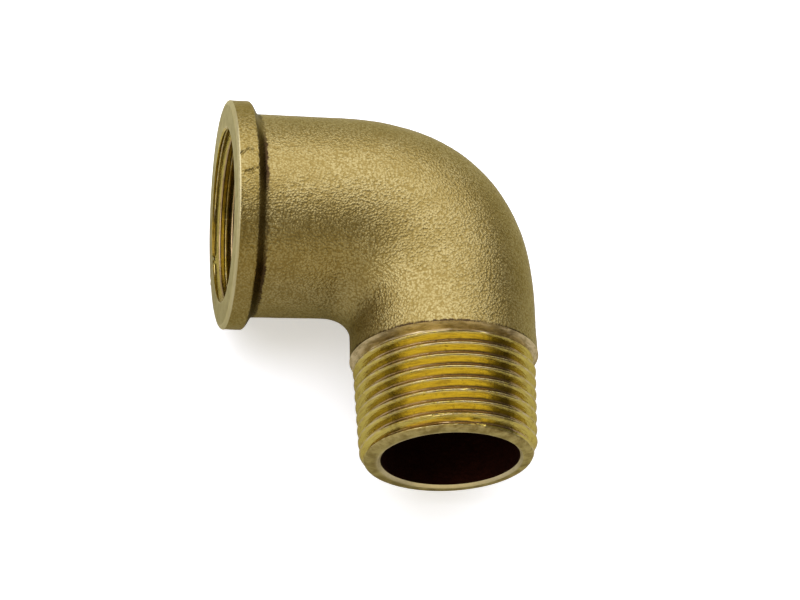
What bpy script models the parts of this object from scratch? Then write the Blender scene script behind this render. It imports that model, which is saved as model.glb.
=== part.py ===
"""A cast brass 90 degree street elbow: female 3/4 thread at one end, male 3/4 taper thread at the other.

The elbow lies on its side. Both port axes are horizontal: the female port faces -X, the male end
faces -Y, and +Z is up. The origin is under the middle of the elbow, on the surface it lies on.
Every shape is made about the point where the port axes meet, and an empty there carries them all.
Lengths are in metres.
"""
import math

import bmesh
import bpy
from mathutils import Euler, Vector

MM = 0.001
MEETING_NAME = "axes_meeting_point"

# The 3/4 pipe thread: 14 threads to the inch, Whitworth form.
PITCH = 1.814 * MM
MAJOR_RADIUS = 26.441 / 2 * MM
MINOR_RADIUS = 24.117 / 2 * MM
GAUGE_LENGTH = 9.5 * MM
TAPER = 1 / 32                              # radius gained for each unit of length, 1:16 on the diameter
CREST_WIDTH = 0.18 * PITCH
FLANK = 0.333 * PITCH                       # along the axis; the flanks then stand at 27.5 degrees
RUN_OUT = 0.8 * MM                          # over which a thread grows from nothing to full depth

# Centre distances: from where the axes meet to the two end faces.
FEMALE_LENGTH = 31.9 * MM
MALE_LENGTH = 38.2 * MM

# The female leg and its bead.
BEAD_RADIUS = 16.87 * MM
BEAD_WIDTH = 3.1 * MM
BEAD_EDGE = 0.35 * MM
BEAD_BACK = 1.4 * MM
FEMALE_RADIUS = 15.0 * MM
SOCKET_DEPTH = 15.0 * MM
SOCKET_MOUTH_RADIUS = 12.9 * MM
SOCKET_MOUTH_DEPTH = 0.6 * MM

# The bend.
BEND_START_RADIUS = 14.87 * MM
BEND_END_RADIUS = 13.72 * MM
INNER_FILLET = 3.2 * MM
OUTER_SWEEP = 30.3 * MM
OUTER_SWEEP_POWER = 2.45                    # 2 is a circle, and a little more is squarer
WALL = 3.6 * MM

# The male leg.
SHOULDER_RADIUS = 13.88 * MM
THREAD_LENGTH = 16.0 * MM                   # from the shoulder to the end face
RELIEF_LENGTH = 1.0 * MM
END_FACE_RADIUS = 12.05 * MM
END_CHAMFER_LENGTH = 1.3 * MM
MALE_BORE_RADIUS = 10.15 * MM
CORE_SHIFT = 0.27 * MM                      # the cast core sits a little towards the outer side

SIDES = 40
OFFSET = 0.5                                # lofts and threads sit half a facet round from the bead
BEND_SECTIONS = 13
OVERLAP = 0.5 * MM
MERGE = 0.01 * MM
SHARP_ANGLE = math.radians(25)

SHOULDER = MALE_LENGTH - THREAD_LENGTH
ROOT_DEPTH = MAJOR_RADIUS - MINOR_RADIUS
PIVOT = Vector((-BEND_END_RADIUS - INNER_FILLET, -BEND_START_RADIUS - INNER_FILLET))
MEETING_POINT = Vector((
    (FEMALE_LENGTH - SHOULDER_RADIUS) / 2,
    (MALE_LENGTH - BEAD_RADIUS) / 2,
    BEAD_RADIUS,
))

# The local +Z of each turned or threaded shape points out of its port.
FEMALE_TURN = Euler((0, -math.pi / 2, 0))
MALE_TURN = Euler((math.pi / 2, 0, 0))


def clear_scene():
    for obj in list(bpy.data.objects):
        bpy.data.objects.remove(obj, do_unlink=True)


def new_collection(name):
    collection = bpy.data.collections.new(name)
    bpy.context.scene.collection.children.link(collection)
    return collection


def brass_material():
    material = bpy.data.materials.new("cast_brass")
    material.use_nodes = True
    shader = material.node_tree.nodes["Principled BSDF"]
    shader.inputs["Base Color"].default_value = (0.48, 0.36, 0.13, 1)
    shader.inputs["Metallic"].default_value = 1.0
    shader.inputs["Roughness"].default_value = 0.45
    return material


def add_object(name, mesh, collection):
    """An object under the empty where the port axes meet; mesh is None for the empty itself."""
    obj = bpy.data.objects.new(name, mesh)
    collection.objects.link(obj)
    obj.parent = bpy.data.objects.get(MEETING_NAME) if mesh else None
    return obj


def shade(mesh):
    mesh.shade_smooth()
    mesh.set_sharp_from_angle(angle=SHARP_ANGLE)


def hide_as_cutter(obj):
    obj.hide_render = True
    obj.display_type = 'WIRE'


def turned(name, profile, rotation, collection):
    """A solid of revolution about its local Z from (radius, height) points, top to bottom."""
    mesh = bpy.data.meshes.new(name)
    points = [(radius, 0, height) for radius, height in profile]
    mesh.from_pydata(points, [(i, i + 1) for i in range(len(points) - 1)], [])
    obj = add_object(name, mesh, collection)
    obj.rotation_euler = rotation
    screw = obj.modifiers.new("Turn", 'SCREW')
    screw.steps = SIDES
    screw.render_steps = SIDES
    screw.use_merge_vertices = True
    screw.merge_threshold = MERGE
    hide_as_cutter(obj)
    return obj


def skinned(name, rings, collection):
    """A closed solid lofted through rings of the same number of points."""
    mesh = bpy.data.meshes.new(name)
    bm = bmesh.new()
    loops = [[bm.verts.new(point) for point in ring] for ring in rings]
    count = len(rings[0])
    for near, far in zip(loops, loops[1:]):
        for i in range(count):
            j = (i + 1) % count
            bm.faces.new((near[i], near[j], far[j], far[i]))
    bm.faces.new(loops[0])
    bm.faces.new(loops[-1])
    bmesh.ops.recalc_face_normals(bm, faces=bm.faces)
    bm.to_mesh(mesh)
    bm.free()
    shade(mesh)
    obj = add_object(name, mesh, collection)
    hide_as_cutter(obj)
    return obj


def section(centre, across, half_across, half_up):
    """An elliptic ring of points, upright in the plane that holds Z and the direction across."""
    ring = []
    for i in range(SIDES):
        turn = math.tau * (i + OFFSET) / SIDES
        flat = centre + across * half_across * math.cos(turn)
        ring.append(Vector((flat.x, flat.y, half_up * math.sin(turn))))
    return ring


def sweep_reach(angle):
    """Distance from the bend's pivot to the outer outline, along a ray at this angle from +X."""
    corner = Vector((BEND_END_RADIUS - OUTER_SWEEP, BEND_START_RADIUS - OUTER_SWEEP))
    ray = Vector((math.cos(angle), math.sin(angle)))

    def outside(distance):
        point = PIVOT + ray * distance - corner
        x = max(point.x, 0) / OUTER_SWEEP
        y = max(point.y, 0) / OUTER_SWEEP
        return x ** OUTER_SWEEP_POWER + y ** OUTER_SWEEP_POWER > 1

    inner, outer = 0.0, 3 * OUTER_SWEEP
    for _ in range(40):
        middle = (inner + outer) / 2
        if outside(middle):
            outer = middle
        else:
            inner = middle
    return inner


def bend_rings(inset):
    """Sections of the bend, set in by this much from the casting's outer skin."""
    rings = []
    for i in range(BEND_SECTIONS):
        part = i / (BEND_SECTIONS - 1)
        angle = math.pi / 2 * (1 - part)
        blend = part * part * (3 - 2 * part)
        half_up = BEND_START_RADIUS + (BEND_END_RADIUS - BEND_START_RADIUS) * blend
        reach = sweep_reach(angle)
        across = Vector((math.cos(angle), math.sin(angle)))
        centre = PIVOT + across * (reach + INNER_FILLET) / 2
        half_across = (reach - INNER_FILLET) / 2
        rings.append(section(centre, across, half_across - inset, half_up - inset))
    return rings


def female_ring(distance, radius):
    return section(Vector((-distance, 0)), Vector((0, 1)), radius, radius)


def male_ring(distance, radius, shift=0.0):
    return section(Vector((shift, -distance)), Vector((1, 0)), radius, radius)


def make_casting(collection):
    rings = [female_ring(FEMALE_LENGTH - OVERLAP, FEMALE_RADIUS)]
    rings += bend_rings(0)
    rings.append(male_ring(SHOULDER, SHOULDER_RADIUS))
    return skinned("elbow_body", rings, collection)


def make_bead(collection):
    face = FEMALE_LENGTH
    back = face - BEAD_WIDTH
    slope = (BEAD_RADIUS - FEMALE_RADIUS) / BEAD_BACK
    foot = back - (BEAD_RADIUS - FEMALE_RADIUS + OVERLAP) / slope
    profile = [
        (0, face),
        (BEAD_RADIUS - 2 * BEAD_EDGE, face),
        (BEAD_RADIUS, face - BEAD_EDGE),
        (BEAD_RADIUS, back),
        (FEMALE_RADIUS - OVERLAP, foot),
        (0, foot),
    ]
    return turned("bead", profile, FEMALE_TURN, collection)


def male_crest(height):
    """Crest radius of the taper thread at this distance from the meeting point of the axes."""
    return MAJOR_RADIUS + TAPER * (MALE_LENGTH - GAUGE_LENGTH - height)


def threaded(name, rotation, bottom, top, radius, collection):
    """A solid with a right-handed thread about its local Z and a flat cap at each end.

    radius(height, lift) is the surface's radius, where lift is 0 at a root and 1 at a crest. Every
    column of points repeats one pitch, and each column starts a step higher than the one before.
    What would pass an end is pressed onto it, where the thread has no depth, and merged.
    """
    pitch_points = [(0, 0), (FLANK, 1), (FLANK + CREST_WIDTH, 1), (2 * FLANK + CREST_WIDTH, 0)]
    pitches = math.ceil((top - bottom) / PITCH) + 2
    bm = bmesh.new()
    columns = []
    for side in range(SIDES):
        turn = math.tau * (side + OFFSET) / SIDES
        column = []
        for pitch in range(pitches):
            for offset, lift in pitch_points:
                height = bottom + PITCH * (pitch - 1 + side / SIDES) + offset
                height = min(max(height, bottom), top)
                reach = radius(height, lift)
                column.append(bm.verts.new((reach * math.cos(turn), reach * math.sin(turn), height)))
        columns.append(column)
    for side, near in enumerate(columns):
        far = columns[(side + 1) % SIDES]
        if side == SIDES - 1:
            far = far[len(pitch_points):]
        for i in range(len(far) - 1):
            bm.faces.new((near[i], far[i], far[i + 1], near[i + 1]))
    bmesh.ops.remove_doubles(bm, verts=bm.verts, dist=MERGE / 10)
    bmesh.ops.holes_fill(bm, edges=bm.edges, sides=SIDES)
    bmesh.ops.recalc_face_normals(bm, faces=bm.faces)
    mesh = bpy.data.meshes.new(name)
    bm.to_mesh(mesh)
    bm.free()
    shade(mesh)
    obj = add_object(name, mesh, collection)
    obj.rotation_euler = rotation
    hide_as_cutter(obj)
    return obj


def growth(distance):
    """How much of its full depth a thread has at this distance from where it starts."""
    return min(max(distance / RUN_OUT, 0), 1)


def make_male_thread(collection):
    """The threaded end, from inside the casting to the end face, with its lead chamfer."""
    chamfer = (male_crest(MALE_LENGTH) - END_FACE_RADIUS) / END_CHAMFER_LENGTH

    def radius(height, lift):
        depth = ROOT_DEPTH * growth(height - SHOULDER - RELIEF_LENGTH)
        thread = male_crest(height) - ROOT_DEPTH + depth * lift
        below_face = MALE_LENGTH - height
        lowest = END_FACE_RADIUS - below_face
        highest = END_FACE_RADIUS + chamfer * below_face
        return min(max(thread, lowest), highest)

    return threaded("male_thread", MALE_TURN, SHOULDER - 2 * OVERLAP, MALE_LENGTH, radius, collection)


def make_waterway(collection):
    """The passage: from the bottom of the socket, round the bend and out of the male end."""
    inside = FEMALE_LENGTH - SOCKET_DEPTH + OVERLAP
    rings = [female_ring(inside, BEND_START_RADIUS - WALL)]
    rings += bend_rings(WALL)
    rings.append(male_ring(SHOULDER, MALE_BORE_RADIUS, CORE_SHIFT))
    rings.append(male_ring(MALE_LENGTH + OVERLAP, MALE_BORE_RADIUS, CORE_SHIFT))
    return skinned("waterway", rings, collection)


def make_tap(collection):
    """The socket's threaded bore and the small flare at its mouth, run out past the female face."""
    bottom = FEMALE_LENGTH - SOCKET_DEPTH
    flare = (SOCKET_MOUTH_RADIUS - MINOR_RADIUS) / SOCKET_MOUTH_DEPTH

    def radius(height, lift):
        thread = MINOR_RADIUS + ROOT_DEPTH * growth(height - bottom - RELIEF_LENGTH) * lift
        below_face = max(FEMALE_LENGTH - height, 0)
        lowest = SOCKET_MOUTH_RADIUS - flare * below_face
        highest = SOCKET_MOUTH_RADIUS + below_face
        return min(max(thread, lowest), highest)

    return threaded("tap", FEMALE_TURN, bottom, FEMALE_LENGTH + OVERLAP, radius, collection)


def combine(body, tool, operation):
    modifier = body.modifiers.new(tool.name, 'BOOLEAN')
    modifier.operation = operation
    modifier.object = tool


def main():
    clear_scene()
    parts = new_collection("street_elbow")
    cutters = new_collection("cutters")
    meeting_point = add_object(MEETING_NAME, None, parts)
    meeting_point.location = MEETING_POINT
    body = make_casting(parts)
    body.hide_render = False
    body.display_type = 'TEXTURED'
    body.data.materials.append(brass_material())
    for make in (make_bead, make_male_thread):
        combine(body, make(cutters), 'UNION')
    for make in (make_waterway, make_tap):
        combine(body, make(cutters), 'DIFFERENCE')


main()
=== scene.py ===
"""The looks of the cast brass street elbow: one closed, finely threaded mesh over the CAD body.

The elbow lies on its side. The female port faces -X, the male end faces -Y, and +Z is up.
Lengths are in metres.
"""
import math

import bmesh
import bpy
import numpy as np
from mathutils import Euler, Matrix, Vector, noise


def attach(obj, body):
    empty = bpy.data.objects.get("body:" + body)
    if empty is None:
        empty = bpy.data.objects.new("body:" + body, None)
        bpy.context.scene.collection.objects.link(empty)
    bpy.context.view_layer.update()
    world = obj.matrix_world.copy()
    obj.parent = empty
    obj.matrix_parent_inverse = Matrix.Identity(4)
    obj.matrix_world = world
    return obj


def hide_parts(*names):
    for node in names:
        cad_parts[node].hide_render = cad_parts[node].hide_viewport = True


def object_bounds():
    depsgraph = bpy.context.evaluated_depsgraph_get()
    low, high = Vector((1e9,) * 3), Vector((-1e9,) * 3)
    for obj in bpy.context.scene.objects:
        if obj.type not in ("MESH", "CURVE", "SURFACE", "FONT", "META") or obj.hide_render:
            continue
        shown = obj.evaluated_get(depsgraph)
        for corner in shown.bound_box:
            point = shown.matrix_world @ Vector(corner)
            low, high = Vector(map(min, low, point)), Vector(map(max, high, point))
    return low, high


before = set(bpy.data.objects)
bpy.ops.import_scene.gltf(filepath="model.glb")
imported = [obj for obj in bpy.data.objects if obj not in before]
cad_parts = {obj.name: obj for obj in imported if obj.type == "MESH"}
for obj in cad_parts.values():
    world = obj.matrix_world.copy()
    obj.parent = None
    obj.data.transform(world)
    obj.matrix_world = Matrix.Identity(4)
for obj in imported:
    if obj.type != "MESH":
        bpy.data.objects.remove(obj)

CAD_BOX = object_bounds()
MM = 0.001

# The elbow's driving dimensions, the same as the CAD's.
PITCH = 1.814 * MM
MAJOR_RADIUS = 26.441 / 2 * MM
MINOR_RADIUS = 24.117 / 2 * MM
ROOT_DEPTH = MAJOR_RADIUS - MINOR_RADIUS
GAUGE_LENGTH = 9.5 * MM
TAPER = 1 / 32
FEMALE_LENGTH = 31.9 * MM
MALE_LENGTH = 38.2 * MM
BEAD_WIDTH = 3.1 * MM
BEAD_BACK = 1.4 * MM
FEMALE_RADIUS = 15.0 * MM
SOCKET_DEPTH = 15.0 * MM
SOCKET_MOUTH_RADIUS = 12.9 * MM
SOCKET_MOUTH_DEPTH = 0.6 * MM
BEND_START_RADIUS = 14.87 * MM
BEND_END_RADIUS = 13.72 * MM
INNER_FILLET = 3.2 * MM
OUTER_SWEEP = 30.3 * MM
OUTER_SWEEP_POWER = 2.45
WALL = 3.6 * MM
THREAD_LENGTH = 16.0 * MM
MALE_BORE_RADIUS = 10.15 * MM
CORE_SHIFT = 0.27 * MM
SHOULDER = MALE_LENGTH - THREAD_LENGTH

# Details that the CAD has simpler, or a little further out.
FACE_EDGE = 0.9 * MM
FACE_EDGE_DEPTH = 0.45 * MM
BEAD_EDGE_ROUND = 0.15 * MM
SHOULDER_RADIUS = 13.80 * MM
SHOULDER_SLOPE = 2.6
RELIEF_LENGTH = 0.8 * MM
RELIEF_FADE = 0.3 * MM
MALE_RUN_OUT = 0.5 * MM
SOCKET_RUN_OUT = 1.5 * MM
END_FACE_RADIUS = 11.25 * MM
END_ROUND = 1.05 * MM
END_ROUND_DEPTH = 0.5 * MM
END_CHAMFER_LENGTH = 1.1 * MM
BORE_EDGE = 0.4 * MM
THREAD_END = MALE_LENGTH - END_ROUND_DEPTH

# Where each helix starts, as a share of a turn.
MALE_THREAD_START = 0.0
SOCKET_THREAD_START = 0.427

# From the frame: the box gives the bead's radius and the point where the port axes meet.
BOX_LOW, BOX_HIGH = Vector(CAD_BOX[0]), Vector(CAD_BOX[1])
BEAD_RADIUS = (BOX_HIGH.z - BOX_LOW.z) / 2
MEETING_POINT = Vector((
    BOX_LOW.x + FEMALE_LENGTH,
    BOX_LOW.y + MALE_LENGTH,
    BOX_LOW.z + BEAD_RADIUS,
))
PIVOT = np.array((-BEND_END_RADIUS - INNER_FILLET, -BEND_START_RADIUS - INNER_FILLET))

# Darker brown in the crevices behind the bead and above the shoulder: strength, and how far it
# reaches.
BEAD_DARKENING_RISE = 0.25
LEG_DARKENING, LEG_DARKENING_REACH = 0.6, 0.8 * MM
SHOULDER_DARKENING, SHOULDER_DARKENING_REACH = 0.75, 0.7 * MM

# Painted dark reflection strips along the male thread: middle and spread in degrees round it, and
# strength.
MALE_DARK_REFLECTION = [(55.0, 7.0, 0.62), (137.0, 8.0, 0.50)]
# The grime all round the socket's thread.
SOCKET_GRIME = 0.28

# How bright the faced surfaces are, from 0 in the middle to 1 on an edge; the brighter edges are
# partly rubbed metal and partly painted highlight.
FACE_LIFT = 0.3
END_ROUND_LIFT = 0.2
END_RING_LIFT = 0.6
BORE_EDGE_LIFT = 0.8

# Mesh fineness.
SIDES = 180
SKIN_STEP = 0.45 * MM
FACE_STEP = 0.6 * MM
RIM_STEP = 0.3 * MM
BORE_STEP = 1.2 * MM
FACE_EDGE_TURN = math.pi / 8
END_ROUND_TURN = math.pi / 12
BEAD_BACK_SECTIONS = 10
BEND_SECTIONS = 90
CORE_SECTIONS = 30
SWEEP_HALVINGS = 40
SHARP_ANGLE = math.radians(32)
MERGE = 1e-6

# The cast skin's relief: its mean depth, then the height and sizes of its waves and its dents.
SKIN_DEPTH = 0.05 * MM
SKIN_WAVE, LONG_WAVE_SIZE, SHORT_WAVE_SIZE = 0.035 * MM, 6 * MM, 2.2 * MM
SKIN_DENT, DENT_SIZE = 0.016 * MM, 0.9 * MM

# A nick's section, in shares of its half width and of its depth, and the dirt left in it.
NICK_CUTS = 5
NICK_REACH = 2.6
NICK_POWER = 0.8
NICK_GRIME = 1.4
LIP_HEIGHT, LIP_PLACE, LIP_WIDTH = 0.5, 1.6, 0.6

ANGLES = np.arange(SIDES) * math.tau / SIDES
COS, SIN = np.cos(ANGLES), np.sin(ANGLES)

# Surface regions, which are also the numbers of the material slots.
CAST, THREAD, FACE, CORE, END = range(5)


# ---------------------------------------------------------------- the elbow's mesh

def quads_between(near, far):
    """Quads between two rows of point numbers that both go once round."""
    return np.stack([near, np.roll(near, -1), np.roll(far, -1), far], 1)


class Tube:
    """Rings of points joined into one closed surface.

    Each face has a region. Each point has three values for the materials: a lift, from a thread's
    root to its crest or from a face to its edge; a share that turns the cast skin darker brown in
    its crevices and marks the plain relief on a thread; and a share of darkening on the threads,
    which is soiling in the nicks and the socket and painted dark reflection strips round the male
    thread.
    """

    def __init__(self):
        self.points = []
        self.faces = []
        self.regions = []
        self.lifts = []
        self.crevice_and_relief_shares = []
        self.grimes_and_dark_reflections = []
        self.last = None

    def add_points(self, points, lift, crevice_and_relief=0.0, grime_and_dark_reflection=0.0):
        start = sum(len(block) for block in self.points)
        self.points.append(points)
        self.lifts.append(np.broadcast_to(lift, len(points)))
        self.crevice_and_relief_shares.append(np.broadcast_to(crevice_and_relief, len(points)))
        self.grimes_and_dark_reflections.append(np.broadcast_to(grime_and_dark_reflection, len(points)))
        return np.arange(start, start + len(points))

    def add_faces(self, quads, region):
        self.faces.append(quads)
        self.regions.append(np.full(len(quads), region))

    def ring(self, points, region, lift=0.0, crevice_and_relief=0.0):
        row = self.add_points(points, lift, crevice_and_relief)
        if self.last is not None:
            self.add_faces(quads_between(self.last, row), region)
        self.last = row


def section(centre, across, half_across, half_up):
    """An elliptic ring upright in the plane that holds Z and the direction across."""
    flat = np.asarray(centre) + np.outer(half_across * COS, np.asarray(across))
    return np.column_stack([flat, half_up * SIN])


def female_ring(distance, radius):
    return section((-distance, 0), (0, 1), radius, radius)


def male_ring(distance, radius, shift=0.0):
    return section((shift, -distance), (1, 0), radius, radius)


def eased(part):
    """0 to 1 with a level start and end."""
    return part * part * (3 - 2 * part)


def growth(distance, over):
    """0 to 1 in a straight line over a distance, and level outside it."""
    return min(max(distance / over, 0.0), 1.0)


def spaced(start, stop, step):
    """Values from just past start to stop, at about this step."""
    count = max(1, round(abs(stop - start) / step))
    return [start + (stop - start) * (i + 1) / count for i in range(count)]


def sweep_reach(angle):
    """Distance from the bend's pivot to the outer outline, along a ray at this angle from +X."""
    corner = np.array((BEND_END_RADIUS - OUTER_SWEEP, BEND_START_RADIUS - OUTER_SWEEP))
    ray = np.array((math.cos(angle), math.sin(angle)))
    inner, outer = 0.0, 3 * OUTER_SWEEP
    for _ in range(SWEEP_HALVINGS):
        middle = (inner + outer) / 2
        x, y = np.maximum(PIVOT + ray * middle - corner, 0) / OUTER_SWEEP
        if x ** OUTER_SWEEP_POWER + y ** OUTER_SWEEP_POWER > 1:
            outer = middle
        else:
            inner = middle
    return inner


def bend_ring(part, inset):
    """A section of the bend, from 0 at the female leg to 1 at the male leg."""
    angle = math.pi / 2 * (1 - part)
    half_up = BEND_START_RADIUS + (BEND_END_RADIUS - BEND_START_RADIUS) * eased(part)
    reach = sweep_reach(angle)
    across = np.array((math.cos(angle), math.sin(angle)))
    centre = PIVOT + across * (reach + INNER_FILLET) / 2
    half_across = (reach - INNER_FILLET) / 2
    return section(centre, across, half_across - inset, half_up - inset)


def bead_back(part, back, foot):
    """Distance and radius down the back of the bead, rounded at its edge and hollow at its foot."""
    start = back + BEAD_EDGE_ROUND
    radius = BEAD_RADIUS + (FEMALE_RADIUS - BEAD_RADIUS) * eased(part)
    return start + (foot - start) * part, radius


# One pitch of the thread: place along the pitch, and lift from root to crest.
THREAD_FORM = [
    (0.000, 0.00), (0.060, 0.03), (0.115, 0.12), (0.250, 0.50), (0.385, 0.88), (0.440, 0.97),
    (0.500, 1.00), (0.560, 0.97), (0.615, 0.88), (0.750, 0.50), (0.885, 0.12), (0.940, 0.03),
]


def thread_rows(tube, low, high, phase, hand, radius, place, grime_and_dark_reflection):
    """Helical rows of thread between two heights, with no ring of their own at either end.

    radius(height, lift) gives the surface, and place(radii, heights) puts a column of points at
    each angle. Points that pass an end are pressed onto it, and merged afterwards with the ring
    that is already there.
    """
    pitches = math.ceil((high - low) / PITCH) + 3
    turn = hand * ANGLES / math.tau
    count = len(THREAD_FORM)
    plain_end = low + RELIEF_LENGTH + RELIEF_FADE
    rows = []
    for pitch in range(pitches):
        for share, lift in THREAD_FORM:
            heights = low + PITCH * (pitch - 2 + share + phase + turn % 1.0)
            heights = np.clip(heights, low, high)
            radii = np.array([radius(height, lift) for height in heights])
            plain = np.array([growth(plain_end - height, RELIEF_FADE) for height in heights])
            rows.append(tube.add_points(place(radii, heights), lift * (1 - plain), plain, grime_and_dark_reflection))
    # Going once round climbs one pitch, so the last column joins the first one pitch further on.
    seam = SIDES - 1 if hand > 0 else 0
    for near_row, far_row in zip(rows, rows[1:]):
        tube.add_faces(np.delete(quads_between(near_row, far_row), seam, 0), THREAD)
    a, b = (SIDES - 1, 0) if hand > 0 else (1, 0)
    stitches = []
    for i in range(len(rows) - 1 - count):
        near_a, near_b = rows[i][a], rows[i + 1][a]
        far_a, far_b = rows[i + count][b], rows[i + 1 + count][b]
        if hand > 0:
            stitches.append((near_a, far_a, far_b, near_b))
        else:
            stitches.append((far_a, near_a, near_b, far_b))
    tube.add_faces(np.array(stitches), THREAD)


def male_crest(height):
    return MAJOR_RADIUS + TAPER * (MALE_LENGTH - GAUGE_LENGTH - height)


def male_radius(height, lift):
    """The male end's surface: the shoulder's slope, the relief, the taper thread and its lead."""
    rim = END_FACE_RADIUS + END_ROUND
    chamfer = (male_crest(THREAD_END) - rim) / END_CHAMFER_LENGTH
    depth = ROOT_DEPTH * growth(height - SHOULDER - RELIEF_LENGTH, MALE_RUN_OUT)
    thread = male_crest(height) - ROOT_DEPTH + depth * lift
    thread = max(thread, SHOULDER_RADIUS - SHOULDER_SLOPE * (height - SHOULDER))
    below_rim = max(THREAD_END - height, 0)
    return min(max(thread, rim - below_rim), rim + chamfer * below_rim)


def socket_radius(height, lift):
    """The socket's surface: the relief at its bottom, the parallel thread and the flared mouth."""
    bottom = FEMALE_LENGTH - SOCKET_DEPTH
    flare = (SOCKET_MOUTH_RADIUS - MINOR_RADIUS) / SOCKET_MOUTH_DEPTH
    depth = ROOT_DEPTH * growth(height - bottom - RELIEF_LENGTH, SOCKET_RUN_OUT)
    thread = MINOR_RADIUS + depth * lift
    below_face = max(FEMALE_LENGTH - height, 0)
    thread = max(thread, SOCKET_MOUTH_RADIUS - flare * below_face)
    return min(thread, SOCKET_MOUTH_RADIUS + below_face)


def place_male(radii, heights):
    return np.column_stack([radii * COS, -heights, radii * SIN])


def place_female(radii, heights):
    return np.column_stack([-heights, radii * COS, radii * SIN])


# Painted dark reflection strips round the male thread.
def male_dark_reflection():
    degrees = np.degrees(ANGLES)
    return sum(strength * np.exp(-((degrees - middle) / spread) ** 2)
               for middle, spread, strength in MALE_DARK_REFLECTION)


def add_female_outside(tube):
    """The face, the bead and the female leg."""
    face = FEMALE_LENGTH
    tube.ring(female_ring(face, SOCKET_MOUTH_RADIUS), FACE, 1)
    for radius in spaced(SOCKET_MOUTH_RADIUS, BEAD_RADIUS - FACE_EDGE, FACE_STEP):
        tube.ring(female_ring(face, radius), FACE, FACE_LIFT)
    for turn in spaced(0, math.pi / 2, FACE_EDGE_TURN):
        depth = FACE_EDGE_DEPTH * (1 - math.cos(turn))
        radius = BEAD_RADIUS - FACE_EDGE * (1 - math.sin(turn))
        tube.ring(female_ring(face - depth, radius), FACE, 1)
    back = face - BEAD_WIDTH
    for distance in spaced(face - FACE_EDGE_DEPTH, back + BEAD_EDGE_ROUND, RIM_STEP):
        tube.ring(female_ring(distance, BEAD_RADIUS), CAST, 1)
    foot = back - BEAD_BACK
    for part in spaced(0, 1, 1 / BEAD_BACK_SECTIONS):
        crevice_and_relief = growth(part, BEAD_DARKENING_RISE)
        tube.ring(female_ring(*bead_back(part, back, foot)), CAST, 0, crevice_and_relief)
    leg_end = -PIVOT[0]
    for distance in spaced(foot, leg_end, SKIN_STEP):
        part = (distance - foot) / (leg_end - foot)
        radius = FEMALE_RADIUS + (BEND_START_RADIUS - FEMALE_RADIUS) * part
        crevice_and_relief = LEG_DARKENING * growth(distance - foot + LEG_DARKENING_REACH, LEG_DARKENING_REACH)
        tube.ring(female_ring(distance, radius), CAST, 0, crevice_and_relief)


def add_male_outside(tube):
    """The neck, the shoulder, the male thread and the rounded end with its flat ring."""
    neck_start = -PIVOT[1]
    for distance in spaced(neck_start, SHOULDER, SKIN_STEP):
        part = (distance - neck_start) / (SHOULDER - neck_start)
        radius = BEND_END_RADIUS + (SHOULDER_RADIUS - BEND_END_RADIUS) * part
        reach = distance - SHOULDER + SHOULDER_DARKENING_REACH
        crevice_and_relief = SHOULDER_DARKENING * growth(reach, SHOULDER_DARKENING_REACH)
        tube.ring(male_ring(distance, radius), CAST, 0, crevice_and_relief)
    thread_rows(tube, SHOULDER, THREAD_END, MALE_THREAD_START, 1, male_radius, place_male,
                male_dark_reflection())
    tube.last = None
    for turn in [0] + spaced(0, math.pi / 2, END_ROUND_TURN):
        depth = END_ROUND_DEPTH * (1 - math.sin(turn))
        radius = END_FACE_RADIUS + END_ROUND * math.cos(turn)
        tube.ring(male_ring(MALE_LENGTH - depth, radius), END, END_ROUND_LIFT)
    middle = (END_FACE_RADIUS + MALE_BORE_RADIUS) / 2
    bore_edge = MALE_BORE_RADIUS + BORE_EDGE
    tube.ring(male_ring(MALE_LENGTH, middle, CORE_SHIFT / 2), END, END_RING_LIFT)
    tube.ring(male_ring(MALE_LENGTH, bore_edge, CORE_SHIFT), END, BORE_EDGE_LIFT)
    tube.ring(male_ring(MALE_LENGTH - BORE_EDGE, MALE_BORE_RADIUS, CORE_SHIFT), END, 1)


def add_inside(tube):
    """The male bore, the waterway round the bend, and the socket with its thread."""
    neck_start = -PIVOT[1]
    for distance in spaced(MALE_LENGTH, neck_start, BORE_STEP):
        part = (MALE_LENGTH - distance) / (MALE_LENGTH - neck_start)
        radius = MALE_BORE_RADIUS + (BEND_END_RADIUS - WALL - MALE_BORE_RADIUS) * part
        tube.ring(male_ring(distance, radius, CORE_SHIFT * (1 - part)), CORE)
    for part in spaced(1, 0, 1 / CORE_SECTIONS):
        tube.ring(bend_ring(part, WALL), CORE)
    bottom = FEMALE_LENGTH - SOCKET_DEPTH
    tube.ring(female_ring(bottom, BEND_START_RADIUS - WALL), CORE)
    tube.ring(female_ring(bottom, MINOR_RADIUS), FACE)
    thread_rows(tube, bottom, FEMALE_LENGTH, SOCKET_THREAD_START, -1, socket_radius, place_female,
                SOCKET_GRIME)


def build_tube():
    """The whole surface: out over the bead, round the bend, down the thread and back inside."""
    tube = Tube()
    add_female_outside(tube)
    for part in spaced(0, 1, 1 / BEND_SECTIONS):
        tube.ring(bend_ring(part, 0), CAST)
    add_male_outside(tube)
    add_inside(tube)
    return tube


def make_elbow():
    tube = build_tube()
    points = np.vstack(tube.points) + np.array(MEETING_POINT)
    faces = np.vstack(tube.faces)
    mesh = bpy.data.meshes.new("street_elbow")
    mesh.from_pydata(points.tolist(), [], faces.tolist())
    mesh.polygons.foreach_set("material_index", np.concatenate(tube.regions))
    for name, values in (("lift", tube.lifts), ("crevice_and_relief", tube.crevice_and_relief_shares), ("grime_and_dark_reflection", tube.grimes_and_dark_reflections)):
        attribute = mesh.attributes.new(name, 'FLOAT', 'POINT')
        attribute.data.foreach_set("value", np.concatenate(values))
    finish_mesh(mesh)
    mesh.shade_smooth()
    mesh.set_sharp_from_angle(angle=SHARP_ANGLE)
    elbow = bpy.data.objects.new("street_elbow", mesh)
    bpy.context.scene.collection.objects.link(elbow)
    return elbow


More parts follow.
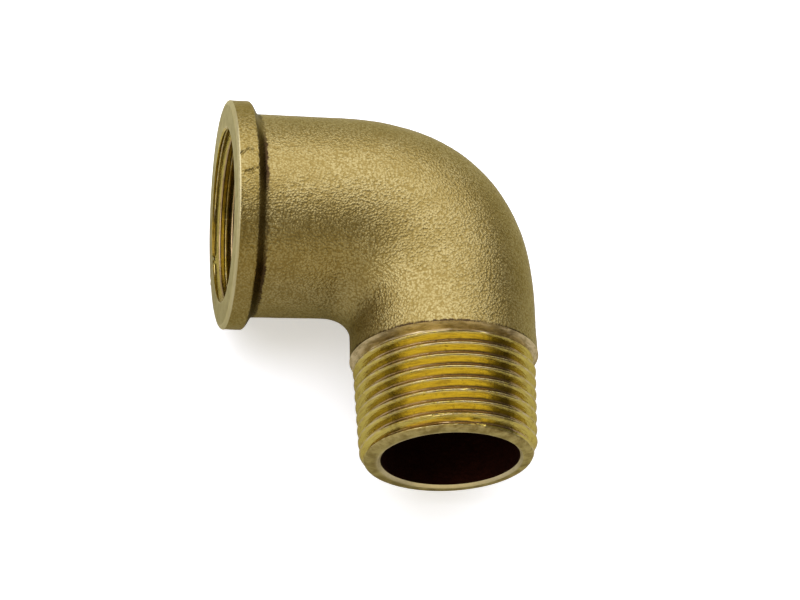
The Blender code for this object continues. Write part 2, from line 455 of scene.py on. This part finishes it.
def round_female_axis(distance, radius, degrees):
    """A point round the female port's axis, in the row's frame."""
    angle = math.radians(degrees)
    offset = Vector((-distance, radius * math.cos(angle), radius * math.sin(angle)))
    return MEETING_POINT + offset


def on_bead(distance, degrees):
    """A point on the bead's rim."""
    return round_female_axis(distance, BEAD_RADIUS, degrees)


def on_face(radius, degrees):
    """A point on the flat face round the socket's mouth."""
    return round_female_axis(FEMALE_LENGTH, radius, degrees)


def on_thread(height, degrees):
    """A point on the male thread's crests."""
    angle = math.radians(degrees)
    radius = male_radius(height, 1)
    offset = Vector((radius * math.cos(angle), -height, radius * math.sin(angle)))
    return MEETING_POINT + offset


def nicks():
    """Knocks in the bead and face, and tears along the thread: ends, half width, depth, way in."""
    down, inward = Vector((0, 0, -1)), Vector((1, 0, 0))
    on_skin = [
        ((31.5, 84.0), (30.4, 81.2), 0.20, 0.15),
        ((30.05, 81.0), (29.0, 82.4), 0.20, 0.15),
        ((30.7, 93.6), (28.9, 91.4), 0.20, 0.14),
    ]
    on_faced = [
        ((12.9, 265.0), (16.9, 258.0), 0.35, 0.30),
    ]
    on_crests = [
        ((32.1, 88.0), (32.3, 75.0), 0.20, 0.20),
        ((36.3, 109.0), (36.1, 97.0), 0.20, 0.20),
        ((36.1, 97.0), (35.9, 84.0), 0.18, 0.18),
        ((37.4, 106.0), (37.5, 95.0), 0.20, 0.18),
        ((37.3, 84.0), (37.6, 76.0), 0.24, 0.22),
    ]
    found = []
    for rows, surface, way_in in (
        (on_skin, on_bead, down),
        (on_faced, on_face, inward),
        (on_crests, on_thread, down),
    ):
        for start, end, half_width, deep in rows:
            ends = [surface(along * MM, degrees) for along, degrees in (start, end)]
            found.append((*ends, half_width * MM, deep * MM, way_in))
    return found


def distance_to_segment(point, start, end):
    along = end - start
    share = min(max((point - start).dot(along) / along.length_squared, 0.0), 1.0)
    return (point - start - along * share).length


def refine(bm, start, end, reach):
    """Finer faces within reach of a segment."""
    verts = {vert for vert in bm.verts if distance_to_segment(vert.co, start, end) < reach}
    edges = [edge for edge in bm.edges if edge.verts[0] in verts and edge.verts[1] in verts]
    bmesh.ops.subdivide_edges(bm, edges=edges, cuts=NICK_CUTS, use_grid_fill=True)


def skin_depth(point):
    """How far the cast skin lies below its nominal surface, with slow waves and blasted dents."""
    waves = noise.noise(point * (1 / LONG_WAVE_SIZE))
    waves += 0.5 * noise.noise(point * (1 / SHORT_WAVE_SIZE))
    dents = noise.noise(point * (1 / DENT_SIZE))
    return max(SKIN_DEPTH + SKIN_WAVE * waves + SKIN_DENT * dents, 0.0)


def nick_profile(reach):
    """Depth across a nick as a share of its deepest, with a low raised lip outside its edge."""
    if reach < 1:
        return (1 - reach) ** NICK_POWER
    return -LIP_HEIGHT * max(1 - abs(reach - LIP_PLACE) / LIP_WIDTH, 0.0)


def finish_mesh(mesh):
    """Merges the thread's ends, roughens the cast skin and knocks the nicks in."""
    bm = bmesh.new()
    bm.from_mesh(mesh)
    bmesh.ops.remove_doubles(bm, verts=bm.verts, dist=MERGE)
    bmesh.ops.dissolve_degenerate(bm, edges=bm.edges, dist=MERGE)
    loose = [vert for vert in bm.verts if not vert.link_faces]
    bmesh.ops.delete(bm, geom=loose, context='VERTS')
    bmesh.ops.recalc_face_normals(bm, faces=bm.faces)
    marks = nicks()
    for start, end, half_width, _, _ in marks:
        refine(bm, start, end, NICK_REACH * half_width)
    bm.normal_update()
    grime_and_dark_reflection = bm.verts.layers.float["grime_and_dark_reflection"]
    moves = []
    for vert in bm.verts:
        move = Vector((0, 0, 0))
        if all(face.material_index == CAST for face in vert.link_faces):
            move -= vert.normal * skin_depth(vert.co)
        for start, end, half_width, deep, way_in in marks:
            reach = distance_to_segment(vert.co, start, end) / half_width
            move += way_in * deep * nick_profile(reach)
            vert[grime_and_dark_reflection] = max(vert[grime_and_dark_reflection], NICK_GRIME * (1 - reach))
        if move.length_squared:
            moves.append((vert, move))
    # No nick's lip stands out of the CAD's box.
    for vert, move in moves:
        vert.co = Vector(np.clip(vert.co + move, BOX_LOW, BOX_HIGH))
    bm.to_mesh(mesh)
    bm.free()


# ---------------------------------------------------------------- materials

# The colour sockets of Blender's Mix node: two inputs and the output.
MIX_A, MIX_B, MIX_RESULT = 6, 7, 2


class Nodes:
    """A material's node tree, with one short call for each kind of node that is used here."""

    def __init__(self, name, roughness, metallic, edge_tint):
        self.material = bpy.data.materials.new(name)
        self.material.use_nodes = True
        self.tree = self.material.node_tree
        self.shader = self.tree.nodes["Principled BSDF"]
        self.shader.inputs["Roughness"].default_value = roughness
        self.shader.inputs["Metallic"].default_value = metallic
        self.shader.inputs["Specular Tint"].default_value = (*edge_tint, 1)
        self.place = self.tree.nodes.new("ShaderNodeTexCoord").outputs["Object"]

    def add(self, kind, inputs, **settings):
        node = self.tree.nodes.new(kind)
        for name, value in settings.items():
            setattr(node, name, value)
        for name, value in inputs.items():
            socket = node.inputs[name]
            if isinstance(value, bpy.types.NodeSocket):
                self.tree.links.new(value, socket)
            else:
                socket.default_value = value
        return node

    def noise(self, size, detail=2.0, roughness=0.5, place=None):
        """Noise with features about this many metres apart."""
        inputs = {
            "Vector": place or self.place, "Scale": 1 / size,
            "Detail": detail, "Roughness": roughness,
        }
        return self.add("ShaderNodeTexNoise", inputs).outputs["Fac"]

    def pebbles(self, size):
        """Rounded cells about this many metres across, as distance from each one's middle."""
        inputs = {"Vector": self.place, "Scale": 1 / size, "Smoothness": 0.4}
        return self.add("ShaderNodeTexVoronoi", inputs, feature='SMOOTH_F1').outputs["Distance"]

    def math(self, operation, a, b=0.0, c=0.0):
        node = self.add("ShaderNodeMath", {0: a, 1: b, 2: c}, operation=operation)
        return node.outputs[0]

    def ramp(self, value, low, high, to_low=0.0, to_high=1.0):
        """Eased from to_low at low to to_high at high, and level outside them."""
        inputs = {
            "Value": value, "From Min": low, "From Max": high,
            "To Min": to_low, "To Max": to_high,
        }
        node = self.add("ShaderNodeMapRange", inputs, interpolation_type='SMOOTHSTEP')
        return node.outputs["Result"]

    def mix(self, share, a, b):
        """Colour a where share is 0, and b where it is 1."""
        node = self.add("ShaderNodeMix", {0: share}, data_type='RGBA')
        for socket, value in ((node.inputs[MIX_A], a), (node.inputs[MIX_B], b)):
            if isinstance(value, bpy.types.NodeSocket):
                self.tree.links.new(value, socket)
            else:
                socket.default_value = (*value, 1)
        return node.outputs[MIX_RESULT]

    def stretched(self, factors):
        inputs = {"Vector": self.place, "Scale": factors}
        return self.add("ShaderNodeMapping", inputs).outputs["Vector"]

    def attribute(self, name):
        return self.add("ShaderNodeAttribute", {}, attribute_name=name).outputs["Fac"]

    def bump(self, height, depth, normal=None):
        inputs = {"Height": height, "Distance": depth, "Strength": 1.0}
        if normal:
            inputs["Normal"] = normal
        return self.add("ShaderNodeBump", inputs).outputs["Normal"]

    def finish(self, colour, normal=None, roughness=None):
        self.tree.links.new(colour, self.shader.inputs["Base Color"])
        if normal:
            self.tree.links.new(normal, self.shader.inputs["Normal"])
        if roughness:
            self.tree.links.new(roughness, self.shader.inputs["Roughness"])
        return self.material


# Colours, in linear RGB. A tint is what the metal goes towards at a grazing angle.
SKIN_TINT = (0.83, 0.78, 0.52)
SKIN_DULL = (0.275, 0.205, 0.068)
SKIN_PALE = (0.355, 0.280, 0.112)
# Darker, browner hollows between the pebbles, and a painted glint on their tops.
SKIN_HOLLOW = (0.215, 0.152, 0.042)
SKIN_GLINT = (0.42, 0.345, 0.145)
RIM_GOLD = (0.17, 0.110, 0.010)
# A darker brown for the crevices behind the bead and above the shoulder.
SKIN_DARK_BROWN = (0.050, 0.029, 0.012)

THREAD_TINT = (0.84, 0.77, 0.55)
THREAD_ROOT = (0.36, 0.250, 0.130)
THREAD_FLANK = (0.505, 0.400, 0.086)
# A painted highlight along the crests.
THREAD_CREST_HIGHLIGHT = (0.52, 0.42, 0.22)
THREAD_STREAK = (0.22, 0.13, 0.04)
THREAD_STAIN = (0.16, 0.10, 0.035)
# The dark colour for grime, and for the painted dark reflection strips on the male thread.
THREAD_GRIME_AND_DARK_REFLECTION = (0.070, 0.042, 0.018)
RELIEF_DULL = (0.40, 0.310, 0.150)
RELIEF_PALE = (0.70, 0.580, 0.340)

FACED_TINT = (0.86, 0.82, 0.54)
# Each set: dull, bright, and the edges' colour, which is partly rubbed metal and partly painted
# highlight.
FACED_COLOURS = (0.24, 0.190, 0.072), (0.34, 0.285, 0.125), (0.50, 0.43, 0.23)
SAWN_COLOURS = (0.21, 0.150, 0.045), (0.41, 0.325, 0.120), (0.68, 0.58, 0.34)

SCALE_TINT = (0.85, 0.80, 0.70)
SCALE_DARK = (0.010, 0.0020, 0.0008)
SCALE_BROWN = (0.045, 0.0085, 0.0030)


def blasted_brass():
    """Shot-blasted cast skin: dull khaki gold, pebbled, with painted glints on the pebbles' tops
    and darker brown in the crevices behind the bead and above the shoulder.
    """
    n = Nodes("blasted_brass", roughness=0.41, metallic=1.0, edge_tint=SKIN_TINT)
    grain = n.noise(0.22 * MM, detail=2.0, roughness=0.6)
    pebble = n.pebbles(0.34 * MM)
    height = n.math('MULTIPLY_ADD', pebble, -0.9, n.math('MULTIPLY', grain, 0.7))
    blotch = n.noise(6 * MM, detail=4.0, roughness=0.65)
    colour = n.mix(n.ramp(blotch, 0.32, 0.68), SKIN_DULL, SKIN_PALE)
    # The pebbles' hollows go darker and browner, and their tops take painted glints.
    colour = n.mix(n.ramp(height, -0.35, 0.10), SKIN_HOLLOW, colour)
    colour = n.mix(n.ramp(height, 0.02, 0.30, 0.0, 0.5), colour, SKIN_GLINT)
    colour = n.mix(n.math('MULTIPLY', n.attribute("lift"), 0.24), colour, RIM_GOLD)
    # Darker brown in the crevices behind the bead and above the shoulder, ragged and patchy, and in
    # scattered specks elsewhere.
    patchy = n.ramp(n.noise(9 * MM), 0.35, 0.6, 0.35, 1.0)
    speckle = n.noise(0.8 * MM, detail=5.0, roughness=0.75)
    ragged = n.math('MULTIPLY_ADD', speckle, 2.2, n.attribute("crevice_and_relief"))
    dark_brown_share = n.math('MULTIPLY', n.ramp(ragged, 1.45, 1.9), patchy)
    colour = n.mix(dark_brown_share, colour, SKIN_DARK_BROWN)
    normal = n.bump(n.noise(1.1 * MM, detail=1.0), 0.035 * MM, n.bump(height, 0.080 * MM))
    return n.finish(colour, normal)


def cut_brass():
    """Turned thread: yellower than the skin, with brown roots, painted pale highlights on the
    crests, a pale relief, and painted dark reflection strips round the male thread.
    """
    n = Nodes("cut_brass", roughness=0.24, metallic=1.0, edge_tint=THREAD_TINT)
    lift = n.attribute("lift")
    along = n.stretched((0.5, 9.0, 0.5))
    streaks = n.noise(1.0 * MM, detail=3.0, roughness=0.6, place=along)
    wear = n.noise(1.1 * MM, detail=4.0, roughness=0.7)
    colour = n.mix(n.ramp(lift, 0.0, 0.22), THREAD_ROOT, THREAD_FLANK)
    # Painted pale highlights along the crests, broken up by the wear noise.
    crest = n.math('MULTIPLY', n.ramp(lift, 0.84, 1.0), n.ramp(wear, 0.35, 0.6))
    colour = n.mix(crest, colour, THREAD_CREST_HIGHLIGHT)
    colour = n.mix(n.ramp(streaks, 0.55, 0.30, 0.0, 0.5), colour, THREAD_STREAK)
    colour = n.mix(n.ramp(wear, 0.40, 0.28, 0.0, 0.7), colour, THREAD_STAIN)
    relief = n.attribute("crevice_and_relief")
    along = n.stretched((0.4, 3.0, 0.4))
    turned = n.noise(0.9 * MM, detail=4.0, roughness=0.7, place=along)
    colour = n.mix(relief, colour, n.mix(n.ramp(turned, 0.35, 0.62), RELIEF_DULL, RELIEF_PALE))
    # Grime, and painted dark reflection strips round the male thread, broken up by noise.
    patchy = n.ramp(n.noise(1.6 * MM, detail=5.0, roughness=0.7), 0.38, 0.6)
    grime_and_dark_reflection = n.math('MULTIPLY', n.attribute("grime_and_dark_reflection"), patchy)
    colour = n.mix(n.math('MULTIPLY', grime_and_dark_reflection, 0.85), colour, THREAD_GRIME_AND_DARK_REFLECTION)
    normal = n.bump(streaks, 0.03 * MM, n.bump(wear, 0.05 * MM))
    gloss = n.ramp(streaks, 0.3, 0.7, 0.27, 0.15)
    return n.finish(colour, normal, n.math('MULTIPLY_ADD', relief, 0.3, gloss))


def faced_brass(name, dull, bright, edge):
    """Faced end: satin, blotched, with brighter edges, partly rubbed metal and partly painted
    highlight.
    """
    n = Nodes(name, roughness=0.42, metallic=1.0, edge_tint=FACED_TINT)
    blotch = n.noise(1.8 * MM, detail=4.0, roughness=0.65)
    colour = n.mix(n.ramp(blotch, 0.35, 0.65), dull, bright)
    # Brighter towards the edges: partly rubbed metal, partly painted highlight.
    colour = n.mix(n.ramp(n.attribute("lift"), 0.4, 1.0, 0.0, 0.7), colour, edge)
    normal = n.bump(n.noise(0.35 * MM), 0.05 * MM)
    return n.finish(colour, normal)


def cored_brass():
    """The cast waterway, left dark brown with scale."""
    n = Nodes("cored_brass", roughness=0.6, metallic=0.9, edge_tint=SCALE_TINT)
    colour = n.mix(n.noise(1.5 * MM, detail=3.0), SCALE_DARK, SCALE_BROWN)
    return n.finish(colour, n.bump(n.noise(0.6 * MM), 0.1 * MM))


# ---------------------------------------------------------------- stage, light and camera

CAMERA_TURN = Euler((math.radians(24.75), math.radians(-9.31), math.radians(1.78)), 'ZYX')
CAMERA_DISTANCE = 0.6948
CAMERA_LENS = 211.5
CAMERA_AIM = (-5.52 * MM, -11.54 * MM)

# Soft panels: name, azimuth and elevation in degrees, width and height, power and colour.
LIGHT_DISTANCE = 0.5
LIGHTS = [
    ("key", 339, 56, (1.6, 0.82), 9.2, (0.98, 1.01, 1.18)),
    ("fill", 172, 22, (0.6, 0.3), 0.55, (1.0, 0.93, 0.75)),
    ("corner_fill", 237, 24, (0.45, 0.4), 0.45, (1.0, 0.95, 0.80)),
]

WHITE = (1, 1, 1)
SKY = (0.220, 0.209, 0.180)
FLOOR_HALF = 3.0
FLOOR_PALE = (0.95, 0.95, 0.95)
FLOOR_MIRRORED = (0.68, 0.68, 0.68)

# The floor's glow grows from the first strength to the second between these distances.
GLOW_STRENGTH = (0.45, 1.0)
GLOW_DISTANCE = (0.15, 0.9)


def add_camera():
    data = bpy.data.cameras.new("camera")
    data.lens = CAMERA_LENS
    data.clip_end = 10
    camera = bpy.data.objects.new("camera", data)
    bpy.context.scene.collection.objects.link(camera)
    turn = CAMERA_TURN.to_matrix()
    offset = Vector((CAMERA_AIM[0], CAMERA_AIM[1], CAMERA_DISTANCE))
    camera.location = MEETING_POINT + turn @ offset
    camera.rotation_mode = 'ZYX'
    camera.rotation_euler = CAMERA_TURN
    bpy.context.scene.camera = camera


def add_area(name, azimuth, elevation, size, power, colour):
    """A soft panel that faces the elbow. Azimuth 0 is on the +Y side, and 90 on the +X side."""
    data = bpy.data.lights.new(name, 'AREA')
    data.shape = 'RECTANGLE'
    data.size, data.size_y = size
    data.energy = power
    data.color = colour
    light = bpy.data.objects.new(name, data)
    bpy.context.scene.collection.objects.link(light)
    around, above = math.radians(azimuth), math.radians(elevation)
    level = math.cos(above)
    aim = Vector((level * math.sin(around), level * math.cos(around), math.sin(above)))
    light.location = MEETING_POINT + aim * LIGHT_DISTANCE
    light.rotation_euler = aim.to_track_quat('Z', 'Y').to_euler()


def add_floor():
    """A matt floor that pales to white further out. The metal mirrors it dimmer, with no glow."""
    mesh = bpy.data.meshes.new("floor")
    half = FLOOR_HALF
    corners = [(-half, -half, 0), (half, -half, 0), (half, half, 0), (-half, half, 0)]
    mesh.from_pydata(corners, [], [(0, 1, 2, 3)])
    floor = bpy.data.objects.new("floor", mesh)
    bpy.context.scene.collection.objects.link(floor)
    n = Nodes("floor", roughness=0.9, metallic=0.0, edge_tint=WHITE)
    glossy = n.add("ShaderNodeLightPath", {}).outputs["Is Glossy Ray"]
    away = n.add("ShaderNodeVectorMath", {0: n.place}, operation='LENGTH').outputs["Value"]
    strength = n.ramp(away, *GLOW_DISTANCE, *GLOW_STRENGTH)
    glow = n.math('MULTIPLY', strength, n.math('SUBTRACT', 1.0, glossy))
    n.shader.inputs["Emission Color"].default_value = (*WHITE, 1)
    n.tree.links.new(glow, n.shader.inputs["Emission Strength"])
    mesh.materials.append(n.finish(n.mix(glossy, FLOOR_PALE, FLOOR_MIRRORED)))


def add_world():
    """A dim warm sky for the metal to mirror, with a plain white backdrop for the camera."""
    world = bpy.data.worlds.new("studio")
    world.use_nodes = True
    bpy.context.scene.world = world
    tree = world.node_tree
    background = tree.nodes["Background"]
    background.inputs["Strength"].default_value = 1.0
    sky = tree.nodes.new("ShaderNodeMix")
    sky.data_type = 'RGBA'
    seen = tree.nodes.new("ShaderNodeLightPath").outputs["Is Camera Ray"]
    tree.links.new(seen, sky.inputs[0])
    sky.inputs[MIX_A].default_value = (*SKY, 1)
    sky.inputs[MIX_B].default_value = (*WHITE, 1)
    tree.links.new(sky.outputs[MIX_RESULT], background.inputs["Color"])


def main():
    add_camera()
    add_world()
    add_floor()
    for light in LIGHTS:
        add_area(*light)
    bpy.context.scene.view_settings.view_transform = 'Standard'
    elbow = make_elbow()
    for material in (
        blasted_brass(),
        cut_brass(),
        faced_brass("faced_brass", *FACED_COLOURS),
        cored_brass(),
        faced_brass("sawn_brass", *SAWN_COLOURS),
    ):
        elbow.data.materials.append(material)
    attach(elbow, "root")
    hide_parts("elbow_body")


main()
